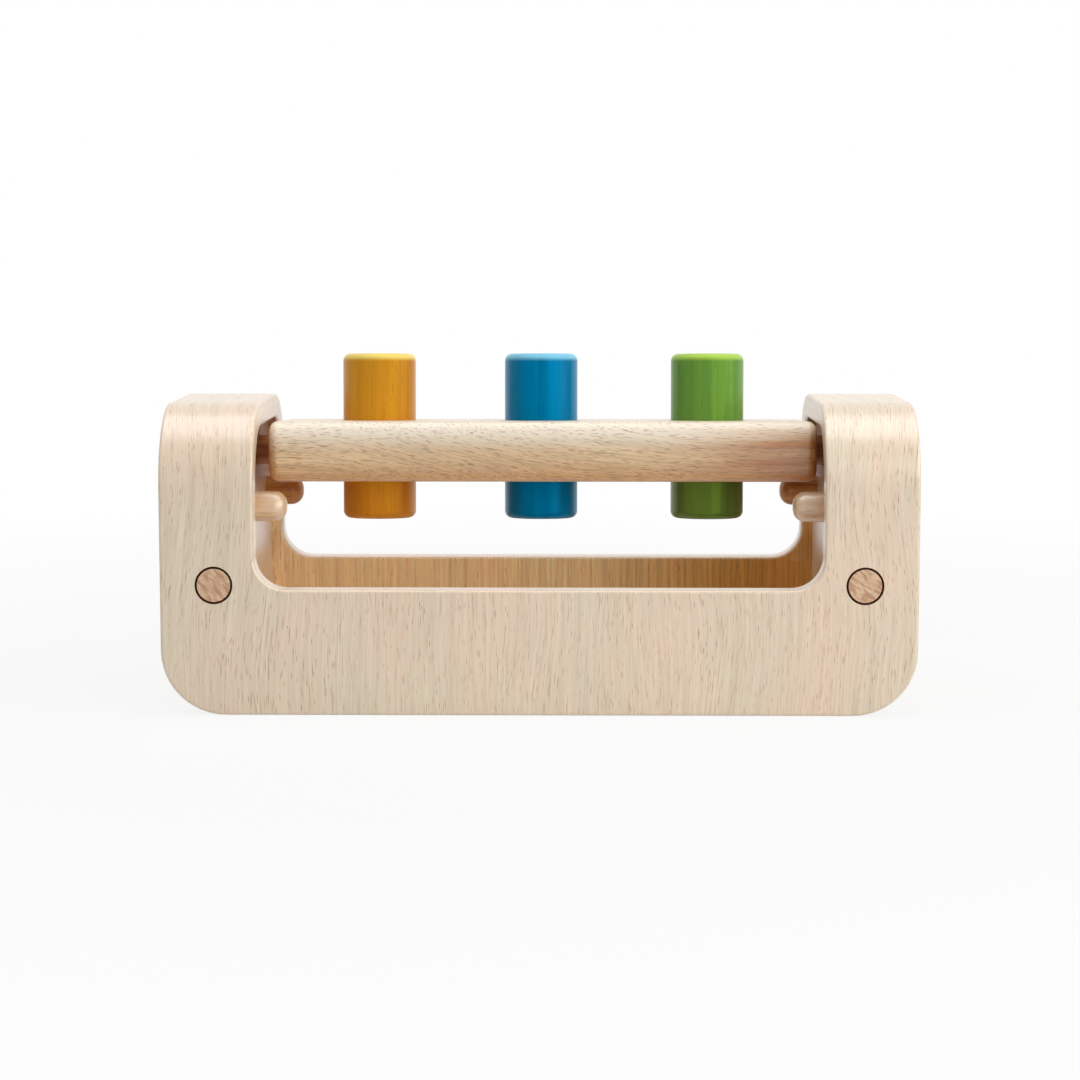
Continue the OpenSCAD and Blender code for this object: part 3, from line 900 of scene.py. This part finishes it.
def make_pegs(turned):
    """The three pegs. Each stain has its dark and pale fibres, its painted rim highlight, its painted shade
    for the lower end, and the colour of its highlights."""
    stains = {
        "yellow": (srgb(196, 122, 38), srgb(226, 160, 44), srgb(252, 224, 120),
                   srgb(254, 238, 250), srgb(255, 214, 0)),
        "blue": (srgb(0, 104, 150), srgb(0, 133, 182), srgb(136, 210, 236),
                 srgb(200, 234, 236), srgb(0, 190, 255)),
        "green": (srgb(86, 130, 56), srgb(116, 162, 72), srgb(180, 214, 88),
                  srgb(236, 200, 210), srgb(186, 255, 60)),
    }
    for number, colour in enumerate(PEG_COLOURS):
        node = f"{colour}_peg"
        low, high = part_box(node)
        finish = stained_wood(f"{colour}_stain", *stains[colour])
        turned_piece(turned, f"{colour}_stained_peg", node, finish, {
            "Radius": (high.x - low.x) / 2,
            "Length": PEG_L,
            "Near rim": PEG_RIM_R,
            "Far rim": PEG_RIM_R,
            "Start": (low + high) / 2 - PEG_AXIS * PEG_L / 2,
            "Along": PEG_AXIS,
            "Log place": (0.3 * number, 1.1, 0),
        })


def make_rings():
    """The rubber rings in the beam's holes."""
    finish = ring_rubber()
    tree = ring_tree()
    for colour in PEG_COLOURS:
        x, radius = peg_place(f"{colour}_peg")
        sizes = {
            "Ring radius": radius + RING_GAP + RING_T / 2,
            "Section radius": RING_T / 2,
            "Centre": BEAM_PLACE @ Vector((x, 0, 0)),
            "Along": PEG_AXIS,
            "Material": finish,
        }
        mesh = shaped_by(tree, f"{colour}_ring", bpy.data.meshes.new(colour), sizes)
        piece(f"{colour}_rubber_ring", mesh, f"{colour}_grip_ring", finish)


def make_camera():
    """The photograph's viewing angle, worked out from the bench's edges."""
    photo_width = 1080
    focal_pixels = 2581.3
    horizon_rise = 19
    tilt_down = 0.112
    turn_left = 0.011
    viewpoint = (9.4 * MM, -871.7 * MM, 156.2 * MM)
    lens = bpy.data.cameras.new("photo_camera")
    lens.sensor_width = 36
    lens.lens = focal_pixels / photo_width * lens.sensor_width
    lens.shift_y = -horizon_rise / photo_width
    camera = bpy.data.objects.new("photo_camera", lens)
    camera.location = viewpoint
    camera.rotation_euler = (QUARTER - tilt_down, 0, turn_left)
    bpy.context.scene.collection.objects.link(camera)
    bpy.context.scene.camera = camera


def soft_lamp(name, place, width, height, brightness):
    """A softbox that faces the bench. Its brightness is that of its own surface, where 1 is white."""
    lamp = bpy.data.lights.new(name, "AREA")
    lamp.shape = "RECTANGLE"
    lamp.size = width
    lamp.size_y = height
    lamp.energy = brightness * math.pi * width * height
    thing = bpy.data.objects.new(name, lamp)
    thing.location = place
    aim = Vector((0, 0, HEIGHT / 2)) - Vector(place)
    thing.rotation_euler = aim.to_track_quat("-Z", "Y").to_euler()
    bpy.context.scene.collection.objects.link(thing)


def seen_white(tree, plain, white):
    """The plain shader, but the white one to the camera and in mirror-like and clear surfaces."""
    rays = add(tree, "ShaderNodeLightPath").outputs
    seen = calc(tree, "MAXIMUM", rays["Is Camera Ray"], rays["Is Glossy Ray"])
    seen = calc(tree, "MAXIMUM", seen, rays["Is Transmission Ray"])
    return add(tree, "ShaderNodeMixShader", {0: seen, 1: plain, 2: white}).outputs[0]


def make_surround():
    """A surround that is seen white and fills the shadows a little."""
    fill_light = 0.28
    world = bpy.data.worlds.new("studio")
    world.use_nodes = True
    tree = world.node_tree
    tree.nodes.clear()
    fill = add(tree, "ShaderNodeBackground", {"Color": (1, 1, 1, 1), "Strength": fill_light}).outputs[0]
    white = add(tree, "ShaderNodeBackground", {"Color": (1, 1, 1, 1), "Strength": 1}).outputs[0]
    output = add(tree, "ShaderNodeOutputWorld")
    tree.links.new(seen_white(tree, fill, white), output.inputs["Surface"])
    bpy.context.scene.world = world


def make_floor():
    """A white floor that keeps a faint shadow near the bench."""
    shadow_fades_from = 0.2
    shadow_gone_at = 0.6
    reach = 6
    material = bpy.data.materials.new("studio_floor")
    material.use_nodes = True
    tree = material.node_tree
    tree.nodes.clear()
    paper = add(tree, "ShaderNodeBsdfDiffuse", {"Color": (0.8, 0.8, 0.8, 1)}).outputs[0]
    glow = add(tree, "ShaderNodeEmission", {"Color": (1, 1, 1, 1), "Strength": 1}).outputs[0]
    # The shadow fades with the distance from the bench, as it does under a white sweep
    place = add(tree, "ShaderNodeTexCoord").outputs["Object"]
    distance = add(tree, "ShaderNodeVectorMath", {0: place}, operation="LENGTH").outputs["Value"]
    glow_share = spread(tree, distance, shadow_fades_from, shadow_gone_at, 0.86, 1.0)
    lit = add(tree, "ShaderNodeMixShader", {0: glow_share, 1: paper, 2: glow}).outputs[0]
    output = add(tree, "ShaderNodeOutputMaterial")
    tree.links.new(seen_white(tree, paper, lit), output.inputs["Surface"])
    floor_mesh = bpy.data.meshes.new("floor")
    corners = [(-reach, -reach, 0), (reach, -reach, 0), (reach, reach, 0), (-reach, reach, 0)]
    floor_mesh.from_pydata(corners, [], [(0, 1, 2, 3)])
    floor_mesh.materials.append(material)
    in_scene("floor", floor_mesh)


def make_lamps():
    """One large softbox at the right in front, and one overhead."""
    soft_lamp("right_softbox", (0.85, -0.66, 0.4), width=1.5, height=0.8, brightness=1.85)
    soft_lamp("top_softbox", (0.0, 0.0, 1.0), width=1.4, height=0.75, brightness=1.95)
    bpy.context.scene.view_settings.view_transform = "Standard"


make_camera()
make_surround()
make_floor()
make_lamps()
make_plywood()
make_boards_and_beam()
turned = turned_tree()
make_dowels_pins_and_axles(turned)
make_pegs(turned)
make_rings()
